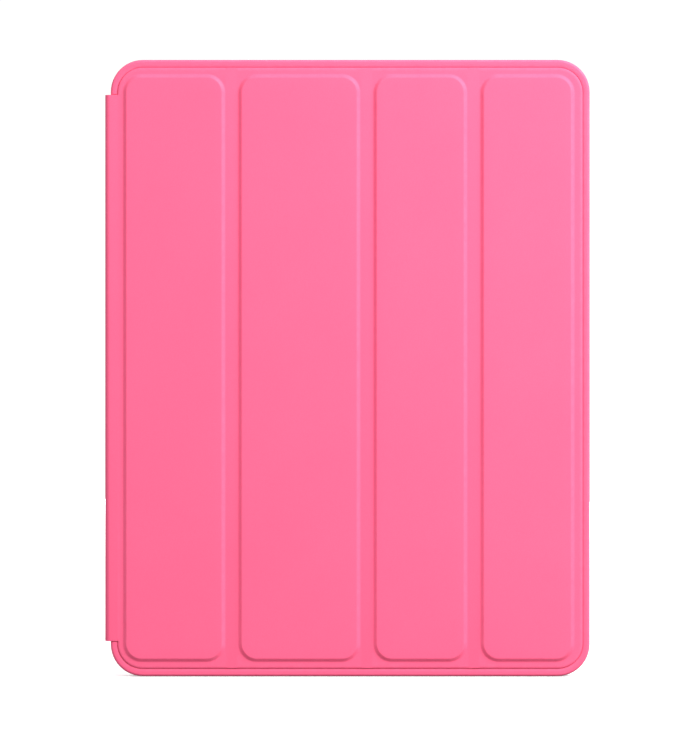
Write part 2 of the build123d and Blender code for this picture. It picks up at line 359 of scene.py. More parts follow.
def offset_path(path, thickness):
    """Pairs of a path's points and the points a thickness to its right."""
    pairs = []
    for i, (x, z) in enumerate(path):
        before, after = path[max(i - 1, 0)], path[min(i + 1, len(path) - 1)]
        run = Vector((after[0] - before[0], after[1] - before[1])).normalized()
        pairs.append(((x, z), (x + run.y * thickness, z - run.x * thickness)))
    return pairs


def boolean(made, other, operation):
    """Cut another solid out of this one, or join it on, and drop the other."""
    modifier = made.modifiers.new("boolean", "BOOLEAN")
    modifier.operation = operation
    modifier.object = other
    modifier.solver = "EXACT"
    bpy.context.view_layer.update()
    evaluated = made.evaluated_get(bpy.context.evaluated_depsgraph_get())
    mesh = bpy.data.meshes.new_from_object(evaluated)
    made.modifiers.clear()
    made.data = mesh
    bpy.data.objects.remove(other)
    clean_mesh(made)


def flatten_normals(made):
    """Keep broad faces flat where they meet rounded edges."""
    modifier = made.modifiers.new("normals", "WEIGHTED_NORMAL")
    modifier.keep_sharp = True
    modifier.weight = 80


def finish_piece(made, material, body, node):
    """Give a rigid piece its material and body, and hide the CAD node it stands for."""
    made.data.materials.clear()
    made.data.materials.append(material)
    flatten_normals(made)
    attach(made, body)
    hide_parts(node)


def finish_web(made, material):
    """Give a soft piece its material and bake its placing into its mesh."""
    made.data.materials.append(material)
    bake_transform(made)


# ---------------------------------------------------------------- material helpers

class Finish:
    """A Principled material and the nodes that feed it."""

    def __init__(self, name, **sockets):
        self.material = bpy.data.materials.new(name)
        self.material.use_nodes = True
        self.tree = self.material.node_tree
        self.shader = self.tree.nodes["Principled BSDF"]
        for socket, value in sockets.items():
            self.shader.inputs[socket.replace("_", " ")].default_value = value
        self.place = self.node("ShaderNodeTexCoord").outputs["Object"]

    def node(self, kind, settings=None, **inputs):
        """A node with its settings, and its inputs given as values or as other nodes' outputs."""
        made = self.tree.nodes.new(kind)
        for name, value in (settings or {}).items():
            setattr(made, name, value)
        for name, value in inputs.items():
            socket = made.inputs[int(name[1:]) if name[1:].isdigit() else name.replace("_", " ")]
            if isinstance(value, bpy.types.NodeSocket):
                self.tree.links.new(value, socket)
            else:
                socket.default_value = value
        return made

    def noise(self, size, detail=2.0, roughness=0.5, stretch=None):
        """Soft noise with features of a size in millimetres, from 0 to 1."""
        vector = self.place
        if stretch:
            vector = self.node("ShaderNodeMapping", Vector=vector, Scale=stretch).outputs[0]
        made = self.node(
            "ShaderNodeTexNoise", Vector=vector, Scale=1 / (size * MM), Detail=detail, Roughness=roughness
        )
        return made.outputs["Fac"]

    def cells(self, size):
        """Rounded cells of a size in millimetres: the distance from each one's middle."""
        settings = {"feature": "SMOOTH_F1"}
        made = self.node("ShaderNodeTexVoronoi", settings, Vector=self.place, Scale=1 / (size * MM))
        made.inputs["Smoothness"].default_value = CELL_SMOOTHNESS
        return made.outputs["Distance"]

    def ramp(self, value, low, high, to_low=0.0, to_high=1.0):
        """A value stretched from one range to another and held at its ends."""
        made = self.node("ShaderNodeMapRange", Value=value)
        ends = {"From Min": low, "From Max": high, "To Min": to_low, "To Max": to_high}
        for socket, number in ends.items():
            made.inputs[socket].default_value = number
        return made.outputs["Result"]

    def spread(self, noise, to_low=0.0, to_high=1.0):
        """Noise stretched from the range that most of it is in to another."""
        return self.ramp(noise, NOISE_LOW, NOISE_HIGH, to_low, to_high)

    def maths(self, operation, first, second):
        """Two values joined by an operation."""
        return self.node("ShaderNodeMath", {"operation": operation}, _0=first, _1=second).outputs[0]

    def mix(self, factor, first, second):
        """Two colours mixed by a factor."""
        made = self.node("ShaderNodeMix", {"data_type": "RGBA", "blend_type": "MIX"})
        for index, value in ((0, factor), (6, first), (7, second)):
            if isinstance(value, bpy.types.NodeSocket):
                self.tree.links.new(value, made.inputs[index])
            else:
                made.inputs[index].default_value = value
        return made.outputs[2]

    def bump(self, height, distance, strength=1.0, under=None):
        """Relief a distance deep in millimetres, laid over any relief under it."""
        made = self.node("ShaderNodeBump", Height=height, Strength=strength, Distance=distance * MM)
        if under:
            self.tree.links.new(under, made.inputs["Normal"])
        return made.outputs["Normal"]

    def worn(self):
        """How much each place is rubbed, as the mesh says, broken up by noise."""
        attribute = self.node("ShaderNodeAttribute", {"attribute_name": "worn"})
        patchy = self.ramp(self.noise(3.0, 3.0), 0.35, 0.7)
        return self.maths("MULTIPLY", attribute.outputs["Fac"], patchy)

    def end(self, colour, roughness, normal=None):
        """Join the results to the shader."""
        for socket, value in (("Base Color", colour), ("Roughness", roughness), ("Normal", normal)):
            if value is not None:
                self.tree.links.new(value, self.shader.inputs[socket])
        return self.material


# ---------------------------------------------------------------- materials

CELL_SMOOTHNESS = 0.6
NOISE_LOW = 0.3
NOISE_HIGH = 0.7
FLOOR_GLOW = 0.42
FLOOR_BOUNCE = (0.20, 0.20, 0.20, 1.0)
FLOOR_DARK = (0.80, 0.80, 0.80, 1.0)
FLOOR_LIGHT = (0.83, 0.83, 0.83, 1.0)
WHITE = (1.0, 1.0, 1.0, 1.0)
SKIN_GLOSS = 0.32
SKIN_ROUGHNESS = (0.60, 0.70)
PAD_ROUGHNESS = (0.58, 0.68)
PIT_SIZE = 0.42
PIT_DEPTH = 0.022
GRAIN_SIZE = 0.16
GRAIN_DEPTH = 0.008
MOTTLE_SIZE = 38.0
MOTTLE_DEPTH = 0.35
SMEAR_SIZE = 9.0
NAP_ROUGHNESS = (0.82, 0.95)
STREAK_SIZE = 9.0
TUFT_SIZE = 0.28
TUFT_DEPTH = 0.07
FIBRE_SIZE = 0.10
FIBRE_DEPTH = 0.03
FLECK_SIZE = 0.8
PINK = (0.960, 0.129, 0.262, 1.0)
PINK_DEEP = (0.900, 0.103, 0.228, 1.0)
PINK_RUBBED = (0.960, 0.190, 0.340, 1.0)
# The lining's nap colour, with a darker copy for painted shade and a lighter copy for painted sheen
NAP = (0.690, 0.100, 0.200, 1.0)
NAP_SHADED = (0.640, 0.088, 0.178, 1.0)
NAP_PAINTED_SHEEN = (0.790, 0.155, 0.275, 1.0)
NAP_SHEEN = (1.0, 0.72, 0.82, 1.0)
BOARD_DARK = (0.20, 0.19, 0.18, 1.0)
BOARD_LIGHT = (0.33, 0.32, 0.30, 1.0)
PAINT_DARK = (0.66, 0.080, 0.175, 1.0)
PAINT_LIGHT = (0.78, 0.105, 0.220, 1.0)
MOULDING_DARK = (0.62, 0.075, 0.165, 1.0)
MOULDING_LIGHT = (0.72, 0.095, 0.20, 1.0)
STEEL = (0.55, 0.56, 0.58, 1.0)
STEEL_ROUGHNESS = 0.35
MAGNET = (0.68, 0.67, 0.65, 1.0)
MAGNET_ROUGHNESS = 0.22
ALONG_X = (0.2, 1.0, 1.0)
ALONG_Z = (1.0, 1.0, 0.3)


def skin_material():
    """Smooth pink polyurethane with a fine pressed grain, rubbed slightly along its edges."""
    look = Finish("polyurethane_skin", Specular_IOR_Level=SKIN_GLOSS)
    pits = look.ramp(look.cells(PIT_SIZE), 0.05, 0.55)
    fine = look.noise(GRAIN_SIZE, 3.0, 0.6)
    broad = look.noise(MOTTLE_SIZE, 2.0)
    worn = look.worn()
    colour = look.mix(look.spread(broad, 0.0, 0.22), PINK, PINK_DEEP)
    colour = look.mix(look.ramp(pits, 0.75, 1.0, 0.0, 0.30), colour, PINK_DEEP)
    colour = look.mix(look.maths("MULTIPLY", worn, 0.35), colour, PINK_RUBBED)
    rough = look.spread(look.noise(SMEAR_SIZE, 3.0), *SKIN_ROUGHNESS)
    rough = look.maths("SUBTRACT", rough, look.maths("MULTIPLY", worn, 0.10))
    relief = look.bump(broad, MOTTLE_DEPTH, 0.25)
    relief = look.bump(pits, PIT_DEPTH, 0.55, relief)
    relief = look.bump(fine, GRAIN_DEPTH, 0.45, relief)
    return look.end(colour, rough, relief)


def microfibre_material():
    """Brushed microfibre with a short nap, its colour painted with soft streaks of shade where the nap lies this
    way and that, and with sheen on its tufts.
    """
    look = Finish("microfibre_lining", Specular_IOR_Level=0.15, Sheen_Weight=0.55, Sheen_Roughness=0.45)
    look.shader.inputs["Sheen Tint"].default_value = NAP_SHEEN
    streaks = look.noise(STREAK_SIZE, 4.0, 0.6, (1.0, 1.0, 0.5))
    tufts = look.noise(TUFT_SIZE, 4.0, 0.7)
    fibres = look.noise(FIBRE_SIZE, 3.0, 0.7, (1.0, 1.0, 0.4))
    # Painted shade: soft streaks of darker nap; then painted sheen: lighter nap on the tufts
    colour = look.mix(look.spread(streaks), NAP_SHADED, NAP)
    colour = look.mix(look.ramp(tufts, 0.45, 0.75, 0.0, 0.55), colour, NAP_PAINTED_SHEEN)
    rough = look.spread(tufts, *NAP_ROUGHNESS)
    relief = look.bump(tufts, TUFT_DEPTH, 0.7)
    relief = look.bump(fibres, FIBRE_DEPTH, 0.6, relief)
    return look.end(colour, rough, relief)


def board_material():
    """Grey fibreboard with flecks."""
    look = Finish("stiffener_board", Specular_IOR_Level=0.3)
    flecks = look.noise(FLECK_SIZE, 5.0, 0.7)
    colour = look.mix(look.spread(flecks), BOARD_DARK, BOARD_LIGHT)
    rough = look.spread(flecks, 0.75, 0.9)
    return look.end(colour, rough, look.bump(flecks, 0.05, 0.6))


def painted_board_material():
    """Fibreboard whose cut edges are painted in the skin's colour."""
    look = Finish("painted_board", Specular_IOR_Level=0.35)
    flecks = look.noise(FLECK_SIZE, 5.0, 0.7)
    colour = look.mix(look.spread(flecks), PAINT_DARK, PAINT_LIGHT)
    rough = look.spread(flecks, 0.52, 0.66)
    return look.end(colour, rough, look.bump(flecks, 0.03, 0.5))


def frame_material():
    """Moulded plastic in the skin's colour, with a spark-eroded texture."""
    look = Finish("moulded_frame", Specular_IOR_Level=0.5)
    texture = look.noise(0.25, 4.0, 0.6)
    colour = look.mix(look.spread(texture), MOULDING_DARK, MOULDING_LIGHT)
    rough = look.spread(look.noise(6.0), 0.42, 0.55)
    return look.end(colour, rough, look.bump(texture, 0.02, 0.5))


def metal_material(name, colour, streak, roughness):
    """Metal with fine scratches along one direction."""
    look = Finish(name, Metallic=1.0)
    scratches = look.noise(0.2, 4.0, 0.6, streak)
    stained = look.noise(4.0, 3.0)
    darker = tuple(0.8 * c for c in colour[:3]) + (1.0,)
    colour = look.mix(look.ramp(stained, 0.35, 0.7), colour, darker)
    rough = look.spread(scratches, roughness - 0.06, roughness + 0.1)
    return look.end(colour, rough, look.bump(scratches, 0.01, 0.5))


def pad_material():
    """The skin's polyurethane over a button, smoother and a little deeper in colour."""
    look = Finish("button_pad", Specular_IOR_Level=SKIN_GLOSS)
    fine = look.noise(0.2, 3.0, 0.6)
    worn = look.worn()
    colour = look.mix(look.spread(fine, 0.0, 0.5), PINK, PINK_DEEP)
    colour = look.mix(look.maths("MULTIPLY", worn, 0.4), colour, PINK_RUBBED)
    rough = look.spread(fine, *PAD_ROUGHNESS)
    return look.end(colour, rough, look.bump(fine, 0.01, 0.5))


def floor_material():
    """A plain white studio floor that is darker to every ray but the camera's."""
    look = Finish("studio_floor", Specular_IOR_Level=0.1, Emission_Strength=FLOOR_GLOW)
    look.shader.inputs["Emission Color"].default_value = WHITE
    mottle = look.noise(300.0, 2.0)
    colour = look.mix(look.spread(mottle), FLOOR_DARK, FLOOR_LIGHT)
    look.end(colour, look.spread(mottle, 0.85, 0.92))
    dim = look.node("ShaderNodeBsdfDiffuse", Color=FLOOR_BOUNCE)
    path = look.node("ShaderNodeLightPath")
    both = look.node("ShaderNodeMixShader", _0=path.outputs["Is Camera Ray"])
    look.tree.links.new(dim.outputs[0], both.inputs[1])
    look.tree.links.new(look.shader.outputs[0], both.inputs[2])
    look.tree.links.new(both.outputs[0], look.tree.nodes["Material Output"].inputs["Surface"])
    return look.material


SKIN_LOOK = skin_material()
LINING_LOOK = microfibre_material()
BOARD_LOOK = board_material()
PAINTED_LOOK = painted_board_material()
FRAME_LOOK = frame_material()
STEEL_LOOK = metal_material("steel", STEEL, ALONG_X, STEEL_ROUGHNESS)
MAGNET_LOOK = metal_material("magnet", MAGNET, ALONG_Z, MAGNET_ROUGHNESS)
PAD_LOOK = pad_material()


# ---------------------------------------------------------------- tray

def tray_rows():
    """The tray skin's rows of points, from the middle of its back round the rim to its inner back."""
    half = (HALF_WIDTH, HALF_HEIGHT)
    inner_shoulder = SHOULDER - SKIN
    inner_rim = RIM_ROUND - SKIN
    rows = [(centred(half, TRAY_CORNER, 0.0, SHOULDER + CAP_BAND), 0.0)]
    for a in arc(10):
        inset, z = SHOULDER * (1 - math.sin(a)), SHOULDER * (1 - math.cos(a))
        rows.append((centred(half, TRAY_CORNER, z, inset), SHOULDER_WEAR * math.sin(2 * a)))
    rows.append((centred(half, TRAY_CORNER, SHOULDER + SHOULDER_BAND), 0.0))
    rows.append((centred(half, TRAY_CORNER, RIM - RIM_ROUND - RIM_BAND), 0.0))
    for a in arc(8):
        inset, z = RIM_ROUND * (1 - math.cos(a)), RIM - RIM_ROUND * (1 - math.sin(a))
        rows.append((centred(half, TRAY_CORNER, z, inset), math.sin(2 * a)))
    grow = RIM_SLOPE - RIM_PROUD
    slope = (RECESS_HALF[0] + grow, RECESS_HALF[1] + grow)
    for a in arc(7):
        z = RIM - RIM_DIP * (1 - math.cos(a))
        points = centred(slope, RECESS_CORNER + grow, z, RIM_SLOPE * math.sin(a))
        rows.append((points, RECESS_WEAR * math.sin(2 * a)))
    rows.append((centred(RECESS_HALF, RECESS_CORNER, RIM - SKIN, RIM_PROUD), 0.0))
    rows.append((centred(half, TRAY_CORNER, RIM - SKIN, RIM_ROUND), 0.0))
    for a in arc(3):
        inset = SKIN + inner_rim * (1 - math.sin(a))
        z = RIM - RIM_ROUND + inner_rim * math.cos(a)
        rows.append((centred(half, TRAY_CORNER, z, inset), 0.0))
    for a in arc(6):
        inset = SKIN + inner_shoulder * (1 - math.cos(a))
        z = SHOULDER - inner_shoulder * math.sin(a)
        rows.append((centred(half, TRAY_CORNER, z, inset), 0.0))
    return rows


def wall_directions(side):
    """The origin and the along, inward and front directions of the wall at one side of the tray."""
    front = Vector((0, 0, 1))
    if side == "right":
        return Vector((HALF_WIDTH, 0, 0)), Vector((0, 1, 0)), Vector((-1, 0, 0)), front
    if side == "top":
        return Vector((0, HALF_HEIGHT, 0)), Vector((1, 0, 0)), Vector((0, -1, 0)), front
    if side == "bottom":
        return Vector((0, -HALF_HEIGHT, 0)), Vector((1, 0, 0)), Vector((0, 1, 0)), front
    return Vector((0, 0, 0)), Vector((1, 0, 0)), front, Vector((0, 1, 0))


def cutter(side, along, up, size, steps):
    """A slot-shaped column into the tray from one side, wider or narrower at each depth."""
    origin, across, inward, rise = wall_directions(side)
    middle = origin + across * along + rise * up
    shape = Shape()
    rows = []
    for depth, wider in steps:
        rows.append(shape.row(obround(middle + inward * depth, across, rise, size[0], size[1], wider)))
    shape.stack(rows)
    return shape.build("cutter")


def ease(edge, deep, wider=0.0):
    """Steps for a column whose mouth is rounded by a radius: depth and how much wider than the slot."""
    mouth = [(edge * (1 - math.cos(a)), wider + edge * (1 - math.sin(a))) for a in arc(6)]
    return [(-OUTSIDE, wider + edge)] + mouth + [(deep, wider)]


def button_size(node, side):
    """A button's place along its wall, its depth in the wall and its length and width."""
    x, y, z = span(node)
    along = x if side == "top" else y
    return sum(along) / 2, sum(z) / 2, (along[1] - along[0], z[1] - z[0])


BUTTONS = {
    "sleep_button": "top",
    "volume_up_button": "right",
    "volume_down_button": "right",
}


def slots():
    """Every plain aperture: its side, its place there and its size with the rounding of its edge."""
    dock = opening_middle("dock_slot")
    headphone = opening_middle("headphone_slot")
    switch = opening_middle("switch_slot")
    speaker = opening_middle("speaker_slot")
    camera = opening_middle("camera_window")
    return (
        ("bottom", dock[0], dock[2], DOCK),
        ("top", headphone[0], headphone[2], HEADPHONE),
        ("top", 0.0, headphone[2], MICROPHONE),
        ("right", switch[1], switch[2], SWITCH),
        ("back", speaker[0], speaker[1], SPEAKER),
        ("back", camera[0], camera[1], CAMERA),
    )


def tray_cutters(deep, with_recesses):
    """A solid for each aperture, and for each button's passage."""
    made = [cutter(side, along, up, size, ease(size[2], deep)) for side, along, up, size in slots()]
    recess = ease(BUTTON_RECESS_EDGE, BUTTON_RECESS, BUTTON_MARGIN)
    steps = recess if with_recesses else [(-OUTSIDE, BUTTON_GAP)]
    steps = steps + [(steps[-1][0], BUTTON_GAP), (deep, BUTTON_GAP)]
    for node, side in BUTTONS.items():
        along, up, size = button_size(node, side)
        made.append(cutter(side, along, up, size, steps))
    return made


def slot_sleeve(side, along, length):
    """The skin's turned-in block round a slot through the moulded frame, behind the wall's skin."""
    origin, across, inward, rise = wall_directions(side)
    lined = HALF_WIDTH - BOARD[0][1] if side == "right" else HALF_HEIGHT - BOARD[1][1]
    bend = SHOULDER - SKIN + SLEEVE_INTO_SKIN
    profile = [(lined, LEDGE - LINING), (SKIN - SLEEVE_INTO_SKIN, LEDGE - LINING)]
    profile += [(SHOULDER - bend * math.cos(a), SHOULDER - bend * math.sin(a)) for a in arc(6, 0, 85)]
    profile.append((lined, SKIN - SLEEVE_END))
    shape = Shape()
    rows = []
    for end in (-1, 1):
        spot = origin + across * (along + end * (length / 2 + SLEEVE))
        rows.append(shape.row([spot + inward * depth + rise * z for depth, z in profile]))
    shape.stack(rows)
    return shape.build("sleeve")


def notch_floor():
    """The skin across the bottom of the rim's notch, where the cover's tab passes over it."""
    x_range = (-HALF_WIDTH + NOTCH_PATCH, -RECESS_HALF[0])
    y_range = (-NOTCH_HALF - NOTCH_PATCH, NOTCH_HALF + NOTCH_PATCH)
    depths = (NOTCH - SKIN, NOTCH + NOTCH_PATCH_RISE)
    shape = Shape()
    shape.stack([shape.row(rounded(x_range, y_range, [0] * 4, z)) for z in depths])
    return shape.build("notch_floor")


def notch_cutter():
    """The space for the cover's tab: straight sides that ease outwards at the rim's top."""
    edge = NOTCH_EDGE
    half = [(NOTCH_HALF, NOTCH), (NOTCH_HALF, RIM - edge)]
    for a in arc(5):
        half.append((NOTCH_HALF + edge * (1 - math.cos(a)), RIM - edge * (1 - math.sin(a))))
    half.append((NOTCH_HALF + edge, RIM + OUTSIDE))
    profile = half + [(-y, z) for y, z in reversed(half)]
    sides = (-HALF_WIDTH - 2 * OUTSIDE, -RECESS_HALF[0] + OUTSIDE / 2)
    shape = Shape()
    shape.stack([shape.row([(x, y, z) for y, z in profile]) for x in sides])
    return shape.build("notch_cutter")


def hinge_lip():
    """The skin's tongue along the back left edge, up to the crease at the spine."""
    crease = SPINE_FACE + CREASE
    root = -HALF_WIDTH + SHOULDER + LIP_ROOT
    pairs = [((root, 0.0), (root, SKIN))]
    pairs.append(((crease + 2 * CREASE_ROUND, 0.0), (crease + SKIN + CREASE_ROUND / 2, SKIN)))
    for a in arc(4):
        x = crease + CREASE_ROUND - CREASE_ROUND_BACK * math.sin(a)
        z = CREASE_ROUND_BACK * (1 - math.cos(a))
        pairs.append(((x, z), (crease + SKIN, SKIN)))
    return ribbon("hinge_lip", pairs, SPINE_HALF)


def make_tray_skin():
    """The tray's outer skin in one piece, with its apertures, its notch and its hinge lip."""
    shape = Shape()
    shape.stack([shape.row(points, worn) for points, worn in tray_rows()])
    made = shape.build("tray_skin_shell")
    for side, along, _, size in slots():
        if side != "back" and size is not MICROPHONE:
            boolean(made, slot_sleeve(side, along, size[0]), "UNION")
    boolean(made, notch_floor(), "UNION")
    boolean(made, notch_cutter(), "DIFFERENCE")
    boolean(made, hinge_lip(), "UNION")
    for tool in tray_cutters(SKIN_CUT, True):
        boolean(made, tool, "DIFFERENCE")
    finish_piece(made, SKIN_LOOK, "tray", "tray_skin")


def make_tray_lining():
    """Microfibre over the tray's floor, up its walls and out over the ledge under the cover."""
    lined = (BOARD[0][1], BOARD[1][1])
    corner = POCKET_CORNER + LINING
    rows = [centred(lined, corner, FLOOR - LINING)]
    rows.append(centred(lined, corner, LEDGE - LINING))
    rows.append(centred(RECESS_HALF, RECESS_CORNER, LEDGE - LINING))
    rows.append(centred(RECESS_HALF, RECESS_CORNER, LEDGE_TOP))
    for a in arc(4):
        inset, z = -LIP_ROUND * (1 - math.sin(a)), LEDGE_TOP - LIP_ROUND * (1 - math.cos(a))
        rows.append(centred(POCKET_HALF, POCKET_CORNER, z, inset))
    for a in arc(6):
        inset, z = FLOOR_COVE * (1 - math.cos(a)), FLOOR + FLOOR_COVE * (1 - math.sin(a))
        rows.append(centred(POCKET_HALF, POCKET_CORNER, z, inset))
    rows.append(centred(POCKET_HALF, POCKET_CORNER, FLOOR, FLOOR_COVE + FLOOR_BAND))
    shape = Shape()
    shape.stack([shape.row(points) for points in rows])
    made = shape.build("tray_lining_cloth")
    for tool in tray_cutters(LINING_CUT, False):
        boolean(made, tool, "DIFFERENCE")
    finish_piece(made, LINING_LOOK, "tray", "tray_lining")


def pad_steps(deep):
    """A pad's steps from its crown to its inner face: depth, how much wider than the button, and wear."""
    steps = [(depth, -inside, worn) for depth, inside, worn in PAD_CROWN]
    for a in arc(5, 20, 90):
        steps.append((PAD_SHOULDER + PAD_ROUND * (1 - math.cos(a)), -PAD_ROUND * (1 - math.sin(a)), 1.0))
    return steps + [(deep - PAD_BACK_EDGE, 0.0, 0.0), (deep, -PAD_BACK_EDGE, 0.0)]


def make_button(node, side):
    """A domed pad for one button, level with the wall it sits in."""
    along, up, size = button_size(node, side)
    origin, across, inward, rise = wall_directions(side)
    deep = (HALF_HEIGHT - POCKET_HALF[1]) if side == "top" else (HALF_WIDTH - POCKET_HALF[0])
    middle = origin + across * along + rise * up
    shape = Shape()
    rows = []
    for depth, wider, worn in pad_steps(deep):
        points = obround(middle + inward * depth, across, rise, size[0], size[1], wider)
        rows.append(shape.row(points, worn))
    shape.stack(rows)
    made = shape.build(f"{node}_pad")
    finish_piece(made, PAD_LOOK, node, node)


# ---------------------------------------------------------------- cover panels

def free_sides(k):
    """Whether a panel's left and right sides are free edges rather than folds."""
    return k == PANEL_NUMBERS[0], k == PANEL_NUMBERS[-1]


def panel_outline(k, z, inset, margin=0.0):
    """A panel's outline at one depth, a step inside its free edges, with the tab's side on panel 1."""
    left_free, right_free = free_sides(k)
    edge = inset + margin
    left = COVER_LEFT + edge if left_free else FOLDS[k - 1] + FOLD_STRIP
    right = -COVER_LEFT - edge if right_free else FOLDS[k] - FOLD_STRIP
    top = COVER_HALF_HEIGHT - edge
    corner = COVER_CORNER - edge
    radii = [corner * right_free, corner * right_free, corner * left_free, corner * left_free]
    points = rounded((left, right), (-top, top), radii, z)
    if not left_free:
        return points
    outside, tab = SPINE_HALF + TAB_EASE, SPINE_HALF - inset
    side = [(left, outside, z), (COVER_LEFT, tab, z), (COVER_LEFT, -tab, z), (left, -outside, z)]
    corners = 3 * (ARC_STEPS + 1)
    return points[:corners] + side + points[corners:]


def raised_outline(k, z, inset):
    """The outline of a panel's raised part at one depth, a step inside its foot."""
    x_range, y_range, _ = PANEL_BOARDS[k]
    grow = RAISED_MARGIN - inset
    left, right = x_range[0] - grow, x_range[1] + grow
    bottom, top = y_range[0] - grow, y_range[1] + grow
    points = rounded((left, right), (bottom, top), [RAISED_CORNER - inset] * 4, z)
    if not free_sides(k)[0]:
        return points
    heights = (SPINE_HALF + TAB_EASE, SPINE_HALF, -SPINE_HALF, -SPINE_HALF - TAB_EASE)
    corners = 3 * (ARC_STEPS + 1)
    return points[:corners] + [(left, y, z) for y in heights] + points[corners:]


def smooth_step(t):
    """From 0 to 1, level at both ends."""
    return t * t * (3 - 2 * t)


def make_panel_skin(k):
    """A panel's skin, pressed up over its board and hollow where the board lies."""
    web = SKIN / 2
    shape = Shape()
    rows = [
        shape.row(raised_outline(k, BOARD_FRONT, RAISED_MARGIN)),
        shape.row(raised_outline(k, LINING_FRONT, RAISED_MARGIN)),
    ]
    for a in arc(12, -90, 90):
        width = COVER_EDGE_BACK if a < 0 else COVER_EDGE
        inset, z = width * (1 - math.cos(a)), LINING_FRONT + web * (1 + math.sin(a))
        rows.append(shape.row(panel_outline(k, z, inset), COVER_WEAR * max(math.sin(a), 0)))
    rows.append(shape.row(panel_outline(k, WEB_FRONT, COVER_EDGE + EDGE_BAND)))
    rows.append(shape.row(raised_outline(k, WEB_FRONT, -RAISED_FOOT - FOOT_BAND)))
    rise = COVER_FRONT - RAISED_CROWN - WEB_FRONT
    for step in range(BEVEL_STEPS + 1):
        t = step / BEVEL_STEPS
        inset, z = (RAISED_FOOT + RAISED_BEVEL) * t - RAISED_FOOT, WEB_FRONT + rise * smooth_step(t)
        rows.append(shape.row(raised_outline(k, z, inset), max(math.sin(math.pi * t) * t, 0)))
    for t in CROWN_STOPS:
        z = COVER_FRONT - RAISED_CROWN * (1 - t) ** 2
        rows.append(shape.row(raised_outline(k, z, RAISED_BEVEL + CROWN_REACH * t)))
    shape.stack(rows)
    made = shape.build(f"panel_{k}_cover")
    finish_piece(made, SKIN_LOOK, f"panel_{k}", f"panel_{k}_skin")


def lining_outline(k, z, inset):
    """A panel lining's outline at one depth: it reaches the tab's side only between the tab's ends."""
    left_free = free_sides(k)[0]
    points = panel_outline(k, z, inset, LINING_SHY)
    if not left_free:
        return points
    corners = 3 * (ARC_STEPS + 1)
    tab = SPINE_HALF - LINING_INSET - inset
    side = [(x, math.copysign(min(abs(y), tab), y), z) for x, y, _ in points[corners:corners + 4]]
    return points[:corners] + side + points[corners + 4:]


def make_panel_lining(k):
    """The microfibre behind one panel, up to the narrow strips beside it."""
    radius = LINING / 2
    shape = Shape()
    rows = []
    for a in arc(6, -90, 90):
        inset, z = radius * (1 - math.cos(a)), LINING_FRONT - LINING + radius * (1 + math.sin(a))
        rows.append(shape.row(lining_outline(k, z, inset)))
    shape.stack(rows)
    made = shape.build(f"panel_{k}_microfibre")
    finish_piece(made, LINING_LOOK, f"panel_{k}", f"panel_{k}_lining")


# ---------------------------------------------------------------- soft webs, the bend and the spine

def make_fold(k):
    """The skin and the microfibre across one fold, between its two panels."""
    middle = FOLDS[k]
    xs = [middle + FOLD_STRIP * (2 * step / FOLD_STEPS - 1) for step in range(FOLD_STEPS + 1)]

    pairs = [((x, WEB_FRONT), (x, LINING_FRONT)) for x in xs]
    skin = ribbon(f"fold_{k}_{k + 1}_skin", pairs, COVER_HALF_HEIGHT, worn_ends=COVER_WEAR)
    finish_web(skin, SKIN_LOOK)

    pairs = []
    for x in xs:
        dip = FOLD_DIP * (1 + math.cos(math.pi * (x - middle) / FOLD_STRIP)) / 2
        pairs.append(((x, LINING_FRONT - LINING + dip), (x, LINING_FRONT)))
    half = COVER_HALF_HEIGHT - LINING_INSET
    lining = ribbon(f"fold_{k}_{k + 1}_microfibre", pairs, half, end_round=FOLD_LINING_ROUND)
    finish_web(lining, LINING_LOOK)
    return lining


def bend_path(radius):
    """The quarter turn from the spine to the cover at a radius about the bend's middle."""
    return [(BEND_X - radius * math.cos(a), BEND_Z + radius * math.sin(a)) for a in arc(BEND_STEPS)]


def bend_skin_path():
    """The bend's outside in section, from the spine's flat part round to panel 1."""
    path = [(SPINE_FACE, SPINE_TOP), (SPINE_FACE, (SPINE_TOP + BEND_Z) / 2)]
    path += bend_path(BEND)
    return path + [((BEND_X + COVER_LEFT) / 2, WEB_FRONT), (COVER_LEFT, WEB_FRONT)]


def bend_lining_path():
    """The bend's inside in section: up the spine's board, out to the skin, round and on to panel 1."""
    radius = BEND - SKIN
    foot_x, foot_z = SPINE_BOARD[0][1], SPINE_BOARD[2][1] + LINING_FOOT
    turn_x, turn_z = BEND_X - radius, BEND_Z
    path = [(foot_x, SPINE_TOP)]
    for step in range(LINING_STEPS + 1):
        t = step / LINING_STEPS
        path.append((foot_x + (turn_x - foot_x) * smooth_step(t), foot_z + (turn_z - foot_z) * t))
    path += bend_path(radius)[1:]
    return path + [((BEND_X + COVER_LEFT) / 2, LINING_FRONT), (COVER_LEFT, LINING_FRONT)]


def make_bend():
    """The skin and the microfibre over the spine's front edge, between the spine and panel 1."""
    pairs = offset_path(bend_skin_path(), SKIN)
    skin = ribbon("spine_bend_skin", pairs, SPINE_HALF, TAB_ROUND, worn_ends=SPINE_WEAR)
    finish_web(skin, SKIN_LOOK)
    pairs = offset_path(bend_lining_path(), LINING)
    lining = ribbon("spine_bend_microfibre", pairs, SPINE_HALF - LINING_INSET)
    finish_web(lining, LINING_LOOK)
    return lining


def make_spine_skin():
    """The spine's flat skin, from the bend down to a rounded edge at the hinge crease."""
    inner_x, inner_z = SPINE_FACE + SKIN, CREASE + SKIN
    pairs = [((SPINE_FACE, SPINE_TOP), (inner_x, SPINE_TOP))]
    pairs.append(((SPINE_FACE, CREASE + 2 * CREASE_ROUND), (inner_x, inner_z + CREASE_ROUND / 2)))
    for a in arc(4):
        x = SPINE_FACE + CREASE_ROUND_BACK * (1 - math.cos(a))
        z = CREASE + CREASE_ROUND - CREASE_ROUND_BACK * math.sin(a)
        pairs.append(((x, z), (inner_x, inner_z)))
    skin = ribbon("spine_cover", pairs, SPINE_HALF, TAB_ROUND, worn_ends=SPINE_WEAR)
    finish_piece(skin, SKIN_LOOK, "spine", "spine_skin")


